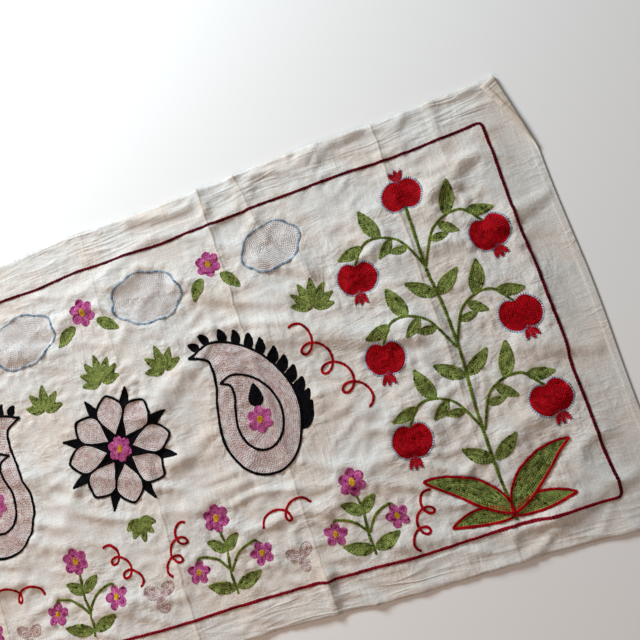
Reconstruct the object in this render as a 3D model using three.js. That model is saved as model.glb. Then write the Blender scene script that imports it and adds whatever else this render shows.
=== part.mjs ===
// A suzani: one hemmed rectangle of embroidered cotton that lies face up on a surface, softly rumpled,
// with the creases of its storage folds across it and one corner turned over onto its face.
// Millimetres, +Z up. +X runs along the cloth, +Y across it towards the edge with the turned corner.
// The origin is on the surface, under the middle of the cloth's outline.
import * as THREE from "three";

// Driving dimensions
const LENGTH = 1080;
const WIDTH = 490;
const THICKNESS = 1.2;
const HEM_WIDTH = 6;
const HEM_EXTRA = 0.7;
const HEM_STEP = 2;
const COLUMN_STEP = 18;
const ROW_STEP = 17;

// The turned corner: how much of the end edge and of the side edge the fold takes, and how tight it bends.
const CORNER_ALONG = 22;
const CORNER_DOWN = 104;
const CORNER_BEND = 1.7;
const CORNER_BEND_STEPS = 4;

// The edges draw in between their fullest places, as waves: how deep and how long.
const EDGE_WAVES = {
  side: { depth: 3.0, length: 270 },
  end: { depth: 2.5, length: 245 },
};

// Storage creases across the whole width: place along the cloth at mid-width, how far along it the crest
// leans by the +Y edge, its height by the +Y edge and by the -Y edge, and its half-width.
const CREASES = [
  { x: -371, lean: 5, plus: 1.5, minus: 0.7, reach: 9 },
  { x: -190, lean: -4, plus: 0.8, minus: 1.6, reach: 9 },
  { x: 26, lean: -3, plus: 0.5, minus: 1.5, reach: 8 },
  { x: 178, lean: -5, plus: 1.8, minus: 1.0, reach: 9 },
  { x: 379, lean: 2, plus: 1.3, minus: 0.6, reach: 8 },
];

// Soft folds: the two ends of the crest, its height and how far each slope reaches at the first end.
// Towards the second end a fold dies away to a share of both.
const FOLD_FAR_SHARE = 0.55;
const FOLDS = [
  { x0: 200, y0: 60, x1: 350, y1: 8, height: 8.0, reach: 30 },
  { x0: 352, y0: 24, x1: 392, y1: -26, height: 4.5, reach: 18 },
  { x0: 122, y0: 150, x1: 168, y1: 116, height: 5.5, reach: 22 },
  { x0: 218, y0: 140, x1: 272, y1: 110, height: 5.0, reach: 22 },
  { x0: 46, y0: 20, x1: 120, y1: 60, height: 5.0, reach: 24 },
  { x0: 50, y0: -46, x1: 112, y1: -22, height: 4.0, reach: 20 },
  { x0: 232, y0: -24, x1: 296, y1: -66, height: 4.0, reach: 20 },
  { x0: 204, y0: -136, x1: 258, y1: -114, height: 3.5, reach: 18 },
  { x0: 318, y0: -52, x1: 366, y1: -80, height: 4.0, reach: 18 },
  { x0: 58, y0: -96, x1: 128, y1: -84, height: 3.5, reach: 18 },
  { x0: -58, y0: -168, x1: 24, y1: -182, height: 4.0, reach: 20 },
  { x0: 262, y0: -192, x1: 346, y1: -204, height: 3.5, reach: 16 },
  { x0: 420, y0: 150, x1: 478, y1: 172, height: 4.5, reach: 20 },
  { x0: 470, y0: 88, x1: 526, y1: 104, height: 4.5, reach: 20 },
  { x0: 404, y0: 96, x1: 456, y1: 76, height: 3.5, reach: 18 },
  { x0: 84, y0: 236, x1: 158, y1: 226, height: 3.0, reach: 14 },
  { x0: 300, y0: 232, x1: 364, y1: 240, height: 3.0, reach: 14 },
  { x0: 217, y0: 240, x1: 232, y1: 160, height: 3.0, reach: 13 },
  { x0: 447, y0: 240, x1: 444, y1: 196, height: 3.0, reach: 14 },
  { x0: 184, y0: -198, x1: 180, y1: -240, height: 3.5, reach: 13 },
  { x0: 410, y0: -120, x1: 478, y1: -96, height: 4.5, reach: 22 },
  { x0: 452, y0: -36, x1: 520, y1: -62, height: 4.5, reach: 22 },
  { x0: 424, y0: -206, x1: 512, y1: -190, height: 4.0, reach: 20 },
  { x0: -140, y0: 150, x1: -40, y1: 118, height: 5.5, reach: 24 },
  { x0: -300, y0: 96, x1: -170, y1: 52, height: 7.0, reach: 28 },
  { x0: -480, y0: 160, x1: -390, y1: 124, height: 5.0, reach: 24 },
  { x0: -150, y0: 12, x1: -62, y1: -34, height: 5.0, reach: 24 },
  { x0: -250, y0: -96, x1: -140, y1: -120, height: 5.0, reach: 24 },
  { x0: -430, y0: -12, x1: -310, y1: -58, height: 6.0, reach: 28 },
  { x0: -520, y0: -120, x1: -420, y1: -156, height: 5.0, reach: 24 },
  { x0: -330, y0: -176, x1: -236, y1: -190, height: 4.0, reach: 20 },
  { x0: -290, y0: 226, x1: -220, y1: 234, height: 3.0, reach: 14 },
];

// A smooth rise from 0 to 1 as t goes from 0 to 1.
function rise(t) {
  const s = Math.min(1, Math.max(0, t));
  return s * s * (3 - 2 * s);
}

// A rounded ridge across its own line: full at the crest, level where the slopes end.
function ridge(distance, reach) {
  return distance >= reach ? 0 : Math.cos((Math.PI * distance) / (2 * reach)) ** 2;
}

// How high one soft fold lifts the cloth at a place, falling away past the ends of its crest.
function foldHeight(fold, x, y) {
  const dx = fold.x1 - fold.x0;
  const dy = fold.y1 - fold.y0;
  const share = ((x - fold.x0) * dx + (y - fold.y0) * dy) / (dx * dx + dy * dy);
  const near = Math.min(1, Math.max(0, share));
  const size = 1 - (1 - FOLD_FAR_SHARE) * near;
  const distance = Math.hypot(x - fold.x0 - near * dx, y - fold.y0 - near * dy);
  return fold.height * size * ridge(distance, fold.reach * size);
}

// How high one storage crease lifts the cloth at a place.
function creaseHeight(crease, x, y) {
  const side = (2 * y) / WIDTH;
  const height = (crease.plus * (1 + side) + crease.minus * (1 - side)) / 2;
  return height * ridge(Math.abs(x - crease.x - crease.lean * side), crease.reach);
}

// The cloth's lift off the surface at a place.
function lift(x, y) {
  const creases = CREASES.reduce((sum, crease) => sum + creaseHeight(crease, x, y), 0);
  return FOLDS.reduce((sum, fold) => sum + foldHeight(fold, x, y), creases);
}

// How far an edge draws in at a place along it.
function drawIn(wave, along) {
  return (wave.depth * (1 - Math.cos((2 * Math.PI * along) / wave.length))) / 2;
}

// The cloth's thickness, with the doubled hem round its edges.
function thickness(u, v) {
  const fromEdge = Math.min(LENGTH / 2 - Math.abs(u), WIDTH / 2 - Math.abs(v));
  return THICKNESS + HEM_EXTRA * (1 - rise((fromEdge - HEM_WIDTH) / HEM_STEP));
}

// The line of the turned corner: a point on it, and the way across it towards the corner.
const foldPoint = new THREE.Vector2(LENGTH / 2 - CORNER_ALONG, WIDTH / 2);
const foldAcross = new THREE.Vector2(CORNER_DOWN, CORNER_ALONG).normalize();

// The middle of the cloth's thickness at a place of the flat cut, in space.
function middle(u, v) {
  const x = u - Math.sign(u) * drawIn(EDGE_WAVES.end, v) * ((2 * u) / LENGTH) ** 2;
  const y = v - Math.sign(v) * drawIn(EDGE_WAVES.side, u) * ((2 * v) / WIDTH) ** 2;
  const base = thickness(u, v) / 2 + lift(x, y);
  const past = (u - foldPoint.x) * foldAcross.x + (v - foldPoint.y) * foldAcross.y;
  if (past <= 0) return new THREE.Vector3(x, y, base);
  const turn = Math.min(Math.PI, past / CORNER_BEND);
  const flat = past - turn * CORNER_BEND;
  const shift = CORNER_BEND * Math.sin(turn) - flat - past;
  return new THREE.Vector3(
    x + shift * foldAcross.x,
    y + shift * foldAcross.y,
    base + CORNER_BEND * (1 - Math.cos(turn)),
  );
}

// The way the cloth faces at a place, from its middle a little to each side.
function facing(u, v) {
  const aside = 0.25;
  const along = middle(u + aside, v).sub(middle(u - aside, v));
  const across = middle(u, v + aside).sub(middle(u, v - aside));
  return along.cross(across).normalize();
}

// Stations from low to high, no further apart than the step, that include the places named.
function stations(low, high, step, named) {
  const stops = [low, ...named, high].sort((a, b) => a - b);
  const all = [low];
  for (let i = 1; i < stops.length; i++) {
    const gap = stops[i] - stops[i - 1];
    const parts = Math.max(1, Math.round(gap / step));
    for (let k = 1; k <= parts; k++) all.push(stops[i - 1] + (gap * k) / parts);
  }
  return all;
}

const hemStops = [HEM_WIDTH, HEM_WIDTH + HEM_STEP];
const rows = stations(-WIDTH / 2, WIDTH / 2, ROW_STEP, [
  ...hemStops.flatMap((h) => [-WIDTH / 2 + h, WIDTH / 2 - h]),
  WIDTH / 2 - CORNER_DOWN,
]);

// Columns up to the strip by the turned corner keep their place in every row, apart from those of a storage
// crease, which lean with it. Those of the strip lean with the turned corner's fold.
const STRIP = 44;
const STRIP_LEAST = 9;
const columns = stations(-LENGTH / 2, LENGTH / 2 - STRIP, COLUMN_STEP, [
  ...hemStops.map((h) => -LENGTH / 2 + h),
  ...CREASES.flatMap((c) => [c.x - c.reach, c.x, c.x + c.reach]),
]);

function creaseColumns(v) {
  return columns.map((u) => {
    const crease = CREASES.find((c) => Math.abs(u - c.x) <= c.reach);
    return crease ? u + (crease.lean * 2 * v) / WIDTH : u;
  });
}

function stripColumns(v) {
  const leaning = CORNER_ALONG * (1 - (WIDTH / 2 - v) / CORNER_DOWN);
  const fold = Math.max(STRIP_LEAST, leaning);
  const bend = Math.PI * CORNER_BEND;
  const steps = CORNER_BEND_STEPS;
  const bendStops = Array.from({ length: steps + 1 }, (_, k) => fold - (bend * k) / steps);
  const fromEdge = [(STRIP + fold) / 2, ...bendStops, (fold - bend) / 2, 0];
  return fromEdge.map((distance) => LENGTH / 2 - distance);
}

// The two faces of the cloth on one grid, joined round the rim.
function clothGeometry() {
  const grid = rows.map((v) => [...creaseColumns(v), ...stripColumns(v)].map((u) => [u, v]));
  const rowCount = grid.length;
  const columnCount = grid[0].length;
  const points = [];
  for (const side of [1, -1]) {
    for (const row of grid) {
      for (const [u, v] of row) {
        points.push(middle(u, v).addScaledVector(facing(u, v), (side * thickness(u, v)) / 2));
      }
    }
  }
  const at = (face, j, i) => (face * rowCount + j) * columnCount + i;
  const triangles = [];
  const quad = (a, b, c, d) => triangles.push(a, b, c, a, c, d);
  for (let j = 0; j + 1 < rowCount; j++) {
    for (let i = 0; i + 1 < columnCount; i++) {
      quad(at(0, j, i), at(0, j, i + 1), at(0, j + 1, i + 1), at(0, j + 1, i));
      quad(at(1, j, i), at(1, j + 1, i), at(1, j + 1, i + 1), at(1, j, i + 1));
    }
  }
  const lastRow = rowCount - 1;
  const lastColumn = columnCount - 1;
  for (let i = 0; i < lastColumn; i++) {
    quad(at(1, 0, i), at(1, 0, i + 1), at(0, 0, i + 1), at(0, 0, i));
    quad(at(0, lastRow, i), at(0, lastRow, i + 1), at(1, lastRow, i + 1), at(1, lastRow, i));
  }
  for (let j = 0; j < lastRow; j++) {
    quad(at(0, j, 0), at(0, j + 1, 0), at(1, j + 1, 0), at(1, j, 0));
    quad(at(1, j, lastColumn), at(1, j + 1, lastColumn), at(0, j + 1, lastColumn), at(0, j, lastColumn));
  }
  const geometry = new THREE.BufferGeometry().setFromPoints(points);
  geometry.setIndex(triangles);
  geometry.computeVertexNormals();
  return geometry;
}

const cotton = new THREE.MeshStandardMaterial({ color: 0xd9d0c6, roughness: 0.95, metalness: 0 });
const cloth = new THREE.Mesh(clothGeometry(), cotton);
cloth.name = "suzani_cloth";

const suzani = new THREE.Group();
suzani.add(cloth);

export default suzani;
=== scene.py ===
# %% [markdown]
# A suzani is a cotton cloth that is embroidered by hand, most of it in chain stitch. This lesson makes
# one that lies face up on a pale floor: the rumpled cloth is one thin sheet, and every stitch on it is
# real thread. The frame holds the plain solid of the cloth, and all that is made here keeps to its place
# and size.

# %% Start from the frame
from collections import namedtuple

import bmesh
import bpy
import numpy as np
from mathutils import Matrix, Vector


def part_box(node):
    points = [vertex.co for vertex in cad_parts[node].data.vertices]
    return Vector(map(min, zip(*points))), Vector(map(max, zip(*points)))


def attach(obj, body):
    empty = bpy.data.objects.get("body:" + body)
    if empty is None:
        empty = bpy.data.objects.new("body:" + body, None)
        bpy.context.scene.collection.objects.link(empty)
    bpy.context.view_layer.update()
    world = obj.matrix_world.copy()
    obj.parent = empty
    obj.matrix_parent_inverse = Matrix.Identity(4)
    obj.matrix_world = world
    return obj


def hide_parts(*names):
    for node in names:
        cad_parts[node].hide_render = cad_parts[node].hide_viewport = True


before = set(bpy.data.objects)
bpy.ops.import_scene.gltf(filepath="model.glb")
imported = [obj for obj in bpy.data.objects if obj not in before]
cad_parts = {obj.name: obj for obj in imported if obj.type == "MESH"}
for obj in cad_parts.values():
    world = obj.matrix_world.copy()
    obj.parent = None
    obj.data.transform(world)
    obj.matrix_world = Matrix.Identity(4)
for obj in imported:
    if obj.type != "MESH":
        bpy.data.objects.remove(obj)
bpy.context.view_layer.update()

MM = 0.001
low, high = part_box("suzani_cloth")
LENGTH = (high.x - low.x) / MM
WIDTH = (high.y - low.y) / MM
dice = np.random.default_rng(11)
print(f"the cloth is {LENGTH:.0f} by {WIDTH:.0f} mm")

# %% [markdown]
# The cloth's plan is drawn flat, in millimetres, before it is laid down. A place on it is a complex
# number, with the length along the real axis and the width along the imaginary one. Turning a motif is
# then one product, and the way across a line is its direction times 1j, so a few short helpers draw every
# motif.

# %% Drawing on the flat cloth
def turned(degrees):
    return np.exp(1j * np.radians(degrees))


def evenly(path, step, closed=False, least=1):
    """Points along a path, about a step apart, in at least so many steps."""
    path = np.append(path, path[0]) if closed else np.asarray(path)
    run = np.append(0, np.cumsum(np.abs(np.diff(path))))
    stops = np.linspace(0, run[-1], max(least, round(run[-1] / step)) + 1)
    return np.interp(stops, run, path.real) + 1j * np.interp(stops, run, path.imag)


def smooth(*points, steps=16):
    """A smooth path through a few points."""
    first, last = 2 * points[0] - points[1], 2 * points[-1] - points[-2]
    p = np.array([first, *points, last])[:, None]
    t = np.arange(steps) / steps
    a, b, c, d = p[:-3], p[1:-2], p[2:-1], p[3:]
    bends = 2 * b + (c - a) * t + (2 * a - 5 * b + 4 * c - d) * t**2 + (3 * b - a - 3 * c + d) * t**3
    return np.append(bends.ravel() / 2, points[-1])


def waves(place, shortest, longest, count, seed):
    """Soft noise between about -1 and 1: many waves of like lengths, each with its own direction."""
    own = np.random.default_rng(seed)
    heading = turned(own.uniform(0, 360, count))
    stride = 2 * np.pi / own.uniform(shortest, longest, count)
    start = own.uniform(0, 2 * np.pi, count)
    total = np.zeros(np.shape(place))
    for h, k, s in zip(heading, stride, start):
        total += np.sin(k * (place * np.conj(h)).real + s)
    return total / np.sqrt(count)


print(f"a smooth path through 3 places has {len(smooth(0, 1j, 1 + 1j))} points")

# %% [markdown]
# Embroidery is worked in rows of thread. A gauge says how long one stitch is, how far apart the rows of a
# filling lie, how wide and high the thread stands, and how far it lies over what is already sewn. A
# thread has a dark and a light shade of its dye, as screen colours, the tone that is left under the
# painted shade in its loop holes and furrows, and its speckle. They are kept in tables, so that a colour
# or a kind of stitch is changed in one place.

# %% Threads and gauges
Gauge = namedtuple("Gauge", "length pitch width height over")
FILLING = Gauge(length=3.0, pitch=2.0, width=2.8, height=0.85, over=0.0)
FRUIT_FILLING = FILLING._replace(width=3.3)
OPEN = Gauge(length=2.8, pitch=2.1, width=2.3, height=0.8, over=0.0)
STEM = Gauge(length=2.8, pitch=2.6, width=3.2, height=1.0, over=0.15)
TRUNK = STEM._replace(width=3.7)
TENDRIL = STEM._replace(width=3.1)
OUTLINE = Gauge(length=2.6, pitch=2.4, width=3.1, height=0.9, over=0.7)
EDGE = Gauge(length=2.4, pitch=1.6, width=2.2, height=0.5, over=0.0)
ROUND_EDGE = Gauge(length=2.8, pitch=2.0, width=3.0, height=0.9, over=0.2)
TICK = Gauge(length=3.0, pitch=2.4, width=0.8, height=0.5, over=0.3)
BORDER = Gauge(length=3.4, pitch=3.4, width=3.8, height=1.2, over=0.0)

# The third value of a thread is the tone left where painted shade darkens a loop's hole and furrows.
Thread = namedtuple("Thread", "dark light furrow speckle")
THREADS = {
    "maroon": Thread(dark=(52, 2, 14), light=(132, 16, 36), furrow=0.45, speckle=0.14),
    "crimson": Thread(dark=(96, 6, 20), light=(186, 30, 52), furrow=0.45, speckle=0.14),
    "red": Thread(dark=(136, 4, 12), light=(240, 22, 40), furrow=0.28, speckle=0.16),
    "green": Thread(dark=(48, 68, 8), light=(194, 212, 120), furrow=0.16, speckle=0.2),
    "olive": Thread(dark=(60, 78, 14), light=(146, 166, 66), furrow=0.4, speckle=0.18),
    "slate": Thread(dark=(40, 54, 88), light=(150, 168, 194), furrow=0.8, speckle=0.3),
    "sky": Thread(dark=(166, 190, 214), light=(224, 236, 246), furrow=0.8, speckle=0.2),
    "blue": Thread(dark=(118, 150, 180), light=(214, 230, 242), furrow=0.36, speckle=0.26),
    "rose": Thread(dark=(222, 184, 180), light=(255, 254, 252), furrow=0.44, speckle=0.22),
    "black": Thread(dark=(3, 3, 5), light=(20, 20, 26), furrow=0.5, speckle=0.3),
    "white": Thread(dark=(240, 232, 228), light=(255, 255, 255), furrow=0.66, speckle=0.3),
    "magenta": Thread(dark=(154, 14, 100), light=(255, 138, 208), furrow=0.32, speckle=0.26),
    "yellow": Thread(dark=(206, 130, 4), light=(250, 204, 60), furrow=0.5, speckle=0.25),
    "blush": Thread(dark=(196, 156, 152), light=(255, 244, 242), furrow=0.46, speckle=0.3),
}
print(f"{len(THREADS)} threads")

# %% [markdown]
# A hand doesn't follow a drawn line exactly, so each path wavers by about a millimetre. The dye isn't
# even along the thread either: its shade drifts along a row, and each stitch differs a little from the
# next. Random numbers from one seed give this, so that the cloth comes out the same each time.

# %% An uneven hand
WAVER, WAVER_SHORTEST, WAVER_LONGEST, WAVER_WAVES = 1.1, 45, 110, 9
MIDDLE_SHADE, DRIFT, DRIFT_SHORTEST, DRIFT_LONGEST = 0.5, 0.12, 5, 9


def by_hand(path):
    along, across = (waves(path, WAVER_SHORTEST, WAVER_LONGEST, WAVER_WAVES, seed) for seed in (3, 4))
    return path + WAVER * (along + 1j * across) / 2


def shades(thread, count, length, tone):
    """The shade of each stitch in a row, from 0, dark, to 1, light."""
    swing = np.arange(count) * length / dice.uniform(DRIFT_SHORTEST, DRIFT_LONGEST)
    drift = DRIFT * np.sin(swing + dice.uniform(0, 2 * np.pi))
    speckle = dice.normal(0, THREADS[thread].speckle, count)
    return np.clip(MIDDLE_SHADE + tone + drift + speckle, 0, 1)


straight = np.linspace(0, LENGTH, 200)
print(f"a straight line wavers by up to {np.abs(by_hand(straight) - straight).max():.1f} mm")

# %% [markdown]
# In chain stitch the needle comes up inside the loop before, so a row is a string of loops that each
# reach into the next. A row is kept as a list of stitches, each with its start and its step. They are
# only gathered for now, because thread can be laid on the cloth once its folds are known, and not before.

# %% Rows of chain stitch
SHORTEST, LEAST_IN_A_CURL = 0.3, 4
Stitch = namedtuple("Stitch", "start step gauge shade")
chains = {thread: [] for thread in THREADS}


def chain(thread, path, gauge, closed=False, tone=0.0):
    """One row along a path. A closed row starts anywhere on it, and a mere dot is one stitch."""
    reach = max(np.ptp(path.real), np.ptp(path.imag))
    if reach < gauge.pitch / 4:
        path, closed = path.mean() + gauge.pitch * np.array([-0.5, 0.5]), False
    if closed:
        path = np.roll(path, dice.integers(len(path)))
    curls = np.abs(np.diff(path)).sum() > 2 * reach
    dots = evenly(path, gauge.length, closed, least=LEAST_IN_A_CURL if curls else 1)
    steps = np.diff(dots)
    shade = shades(thread, len(steps), gauge.length, tone)
    for start, step, tint in zip(dots, steps, shade):
        if abs(step) > SHORTEST:
            chains[thread].append(Stitch(start, step, gauge, tint))


def line(thread, path, gauge):
    chain(thread, path, gauge)


def outline_row(thread, outline, gauge):
    chain(thread, outline, gauge, closed=True)


print(f"a filling has {10 / FILLING.length:.1f} stitches to the centimetre")

# %% [markdown]
# A shape is filled with rows that follow its outline inwards until they meet. Straight rows would fill it
# too, but rows that turn with the edge let the light run round the shape, as on the real cloth. Each row
# is the outline moved inwards once more, without the places that have come too near to another side.

# %% Filling a shape
RING_STEP, LEAST_IN_A_RING, OVERLAP = 0.8, 3, 0.9
EDGE_TONE, ROW_TONE, DEEPEST_TONE = 0.06, 0.02, -0.08


def stretches(kept):
    """The runs of True round a ring, as lists of places in it."""
    turn = int(np.argmin(kept))
    order = np.roll(np.arange(len(kept)), -turn)
    cuts = np.flatnonzero(np.diff(kept[order].astype(int))) + 1
    return [run for run in np.split(order, cuts) if kept[run[0]]]


def inward_ring(outline):
    """Even points round an outline, and the way inwards at each."""
    ring = evenly(outline, RING_STEP, closed=True)[:-1]
    ahead = np.roll(ring, -1) - np.roll(ring, 1)
    turn = np.sign((np.conj(ring) * np.roll(ring, -1)).imag.sum())
    return ring, 1j * turn * ahead / np.abs(ahead)


def fill(thread, outline, gauge):
    """Rows of chain stitch that follow an outline inwards until they meet."""
    ring, inwards = inward_ring(outline)
    depth, rows = gauge.pitch / 2, 0
    while True:
        moved = ring + depth * inwards
        gap = np.abs(moved[:, None] - ring[None, :]).min(axis=1)
        kept = gap > depth - OVERLAP * gauge.pitch
        if kept.sum() < LEAST_IN_A_RING:
            return
        tone = max(EDGE_TONE - ROW_TONE * rows, DEEPEST_TONE)
        if kept.all():
            chain(thread, moved, gauge, closed=True, tone=tone)
        else:
            for run in stretches(kept):
                if len(run) * RING_STEP > gauge.length / 2:
                    chain(thread, moved[run], gauge, tone=tone)
        depth, rows = depth + gauge.pitch, rows + 1


print(f"rows of a filling are {FILLING.pitch} mm apart")

# %% [markdown]
# Fruit is set off from the ground by a fringe of short straight stitches across its edge. They stand at
# even steps round the outline, and each leans and varies in length, as stitches that are set by eye do.

# %% Straight stitches across an edge
TICK_LEAN, TICK_SHORTEST, TICK_LONGEST = 14, 0.8, 1.15
ticks = {thread: [] for thread in THREADS}


def edge_ticks(thread, outline, gauge):
    ring, inwards = inward_ring(outline)
    every = max(1, round(gauge.pitch / RING_STEP))
    for at, way in zip(ring[::every], inwards[::every]):
        lean = way * turned(dice.uniform(-TICK_LEAN, TICK_LEAN))
        step = -gauge.length * dice.uniform(TICK_SHORTEST, TICK_LONGEST) * lean
        ticks[thread].append(Stitch(at - step / 2, step, gauge, dice.uniform(0, 1)))


print(f"the fringe has a stitch each {round(TICK.pitch / RING_STEP) * RING_STEP:.1f} mm")

# %% [markdown]
# A motif is a list of strokes, drawn about its own root. put() turns and moves a motif, so that a spray
# can be made from leaves and flowers, and a tree from boughs. Leaf and petal share one formula, the
# blade, which swells to a fullest place and bends as it grows. A drawn outline for each would take far
# more numbers.

# %% Motifs as strokes
Stroke = namedtuple("Stroke", "way thread path gauge")
BLADE_POINTS, BLADE_BLUNTNESS, BEND_ROOT = 36, 0.85, 0.25
OVAL_POINTS = 120


def put(motif, at=0, turn=0, flip=False, over=0.0):
    """A motif turned by degrees, moved, and laid over others. flip mirrors it left to right first."""
    moved = []
    for s in motif:
        path = -np.conj(s.path) if flip else s.path
        gauge = s.gauge._replace(over=s.gauge.over + over)
        moved.append(s._replace(path=at + turned(turn) * path, gauge=gauge))
    return moved


def blade(length, width, bend=0.0, fullest=0.42):
    """The outline of a leaf or petal that grows along the real axis and bends by some degrees."""
    s = np.linspace(0, 1, BLADE_POINTS)
    heading = turned(bend * (s - BEND_ROOT))
    spine = np.append(0, np.cumsum((heading[1:] + heading[:-1]) / 2)) * length / (len(s) - 1)
    half = width / 2 * np.sin(np.pi * s ** (np.log(0.5) / np.log(fullest))) ** BLADE_BLUNTNESS
    side = 1j * half * heading
    return np.append(spine + side, (spine - side)[-2:0:-1])


def leaf(length, width, bend=0.0):
    return [Stroke(fill, "green", blade(length, width, bend), FILLING)]


def oval(wide, tall, lobes=0, depth=0.0):
    """An oval about its middle, scalloped if it has lobes."""
    t = np.linspace(0, 2 * np.pi, OVAL_POINTS, endpoint=False)
    reach = 1 + depth * np.abs(np.cos(lobes * t / 2))
    return reach * (wide / 2 * np.cos(t) + 1j * tall / 2 * np.sin(t)) / (1 + depth)


print(f"a blade has {len(blade(40, 16))} points, an oval {len(oval(40, 30))}")

# %% [markdown]
# A pomegranate is a red fruit with a crown of sepals. Its body is a round whose radius dips at the stalk
# and at the crown, which leaves two lobes. Its parts are shares of its width, so that one number sizes
# the fruit, and the flower's petals are placed round its middle in the same way.

# %% Fruit and flower
FRUIT_POINTS, RIM_OUT, SEPAL_TURNS = 140, 0.9, (-27, 0, 27)


def cleft(t, at, depth, breadth):
    return depth * np.exp(-(((t - at) / breadth) ** 2))


def pomegranate(wide=43.0):
    """A fruit of two lobes that hangs from its root, with a crown of three sepals below."""
    t = np.linspace(0, 2 * np.pi, FRUIT_POINTS, endpoint=False)
    lobes = np.cos(t) + 0.9j * np.sin(t)
    stalk_cleft = cleft(t, at=np.pi / 2, depth=0.32, breadth=0.34)
    crown_cleft = cleft(t, at=1.5 * np.pi, depth=0.2, breadth=0.3)
    heart = -0.33j * wide
    body = heart + (1 - stalk_cleft - crown_cleft) * lobes * wide / 2
    rim = body + RIM_OUT * lobes / np.abs(lobes)
    neck = heart - 0.34j * wide
    strokes = [Stroke(fill, "red", body, FRUIT_FILLING)]
    for angle in SEPAL_TURNS:
        sepal = neck + blade(0.38 * wide, 0.13 * wide, fullest=0.5) * turned(angle - 90)
        strokes.append(Stroke(fill, "red", sepal, FILLING))
        strokes.append(Stroke(edge_ticks, "slate", sepal, TICK))
    strokes.append(Stroke(outline_row, "sky", rim, EDGE))
    strokes.append(Stroke(edge_ticks, "slate", rim, TICK))
    return strokes


def flower(wide=29.0, petals=6):
    petal = oval(0.4 * wide, 0.36 * wide) + 0.3 * wide
    turns = [turned(90 + 360 * k / petals) for k in range(petals)]
    strokes = [Stroke(fill, "magenta", petal * turn, FILLING) for turn in turns]
    strokes.append(Stroke(fill, "yellow", oval(0.2 * wide, 0.3 * wide), FILLING._replace(over=0.4)))
    return strokes


print(f"pomegranate: {len(pomegranate())} strokes, flower: {len(flower())}")

# %% [markdown]
# Smaller motifs fill the gaps: fans of leaves, red tendrils that loop as they run, pale rounds with a
# scalloped blue edge, and trefoils. Rounds have rows a little apart, so that the cotton shows between
# them.

# %% Fans, tendrils and rounds
FAN_LEAF_WIDTH = 11.0
LOOP_POINTS, LOOP_OPENING, LOOP_LEAST = 40, 2.5, 0.15
SCALLOP, ROUND_RIM = 0.09, 2.6


def fan(reach=34.0, leaves=7, spread=170):
    """Leaves that spread from one root, the middle one longest."""
    strokes = []
    for k in range(leaves):
        angle = spread * (k / (leaves - 1) - 0.5)
        length = reach * (1 - 0.5 * abs(angle) / spread)
        strokes += put(leaf(length, FAN_LEAF_WIDTH), turn=90 + angle)
    return strokes


def coil(length, loops, radius):
    """A tendril that loops as it runs along."""
    t = np.linspace(-0.5, loops + 0.5, LOOP_POINTS * (loops + 1))
    ends = np.clip(LOOP_OPENING * np.minimum(t + 0.5, loops + 0.5 - t), LOOP_LEAST, 1)
    run = length * (t / loops - 0.5)
    return [Stroke(line, "red", run + 1j * radius * ends * turned(-360 * t), TENDRIL)]


def white_round(wide=84.0, tall=60.0, lobes=7):
    shape = oval(wide, tall, lobes, SCALLOP)
    rim = shape * (1 + ROUND_RIM / wide)
    return [Stroke(fill, "white", shape, OPEN), Stroke(outline_row, "blue", rim, ROUND_EDGE)]


def blush_trefoil(wide=20.0):
    lobe = oval(wide, 0.74 * wide) + 0.5 * wide
    return [Stroke(fill, "blush", lobe * turned(turn), FILLING) for turn in (-90, 30, 150)]


print(f"fan: {len(fan())} leaves, trefoil: {len(blush_trefoil())} lobes")

# %% [markdown]
# The largest motifs are the boteh, a bent drop with a comb of black points along its back, and the
# rosette in the middle of the cloth. Both have a dusty rose filling and a black outline. The boteh is a
# spine with a width at each place along it, which keeps its bend and its fullness apart. Its filling
# stops short of the tip.

# %% Boteh and rosette
BOTEH_SPINE = smooth(0, 0.25j, -0.01 + 0.5j, -0.09 + 0.74j, -0.24 + 0.9j, -0.42 + 0.9j)
BOTEH_FULLEST, BOTEH_TAPER, BOTEH_TIP, BOTEH_INNER = 0.34, 1.25, 2.6, 0.56
COMB, COMB_INSET, COMB_LEAN = np.linspace(0.24, 0.93, 13), 0.93, -58
TOOTH_LONG, TOOTH_WIDE = 30, 17


def boteh(tall=158.0, wide=92.0):
    """A bent drop that stands on its root. Its back, with the comb, is on the right."""
    spine = evenly(BOTEH_SPINE * tall, 1.0)
    s = np.linspace(0, 1, len(spine))
    rise = np.sqrt(1 - np.clip(1 - s / BOTEH_FULLEST, 0, 1) ** 2)
    fall = np.cos(np.pi / 2 * np.clip((s - BOTEH_FULLEST) / (1 - BOTEH_FULLEST), 0, 1)) ** BOTEH_TAPER
    heading = np.gradient(spine)
    heading /= np.abs(heading)
    side = 1j * heading * rise * fall * wide / 2
    body = np.append(spine + side, (spine - side)[-2:0:-1])
    heart = spine[round(BOTEH_FULLEST * len(s))]
    wider = np.abs(side) > BOTEH_TIP
    inner = np.append((spine + side)[wider], (spine - side)[wider][::-1])
    strokes = [Stroke(fill, "rose", inner, FILLING)]
    for at in COMB:
        k = round(at * (len(s) - 1))
        tooth = blade(TOOTH_LONG * (1 - 0.5 * at), TOOTH_WIDE * (1 - 0.45 * at), bend=46, fullest=0.36)
        place = spine[k] - COMB_INSET * side[k] + tooth * heading[k] * turned(COMB_LEAN)
        strokes.append(Stroke(fill, "black", place, FILLING))
    strokes.append(Stroke(outline_row, "black", body, OUTLINE))
    strokes.append(Stroke(outline_row, "black", heart + BOTEH_INNER * (body - heart), OUTLINE))
    drop = blade(26, 17, fullest=0.3) * 1j
    strokes.append(Stroke(fill, "black", heart + 12j + drop, FILLING._replace(over=0.6)))
    return strokes + put(flower(30), at=heart - 2j, over=0.5)


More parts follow.
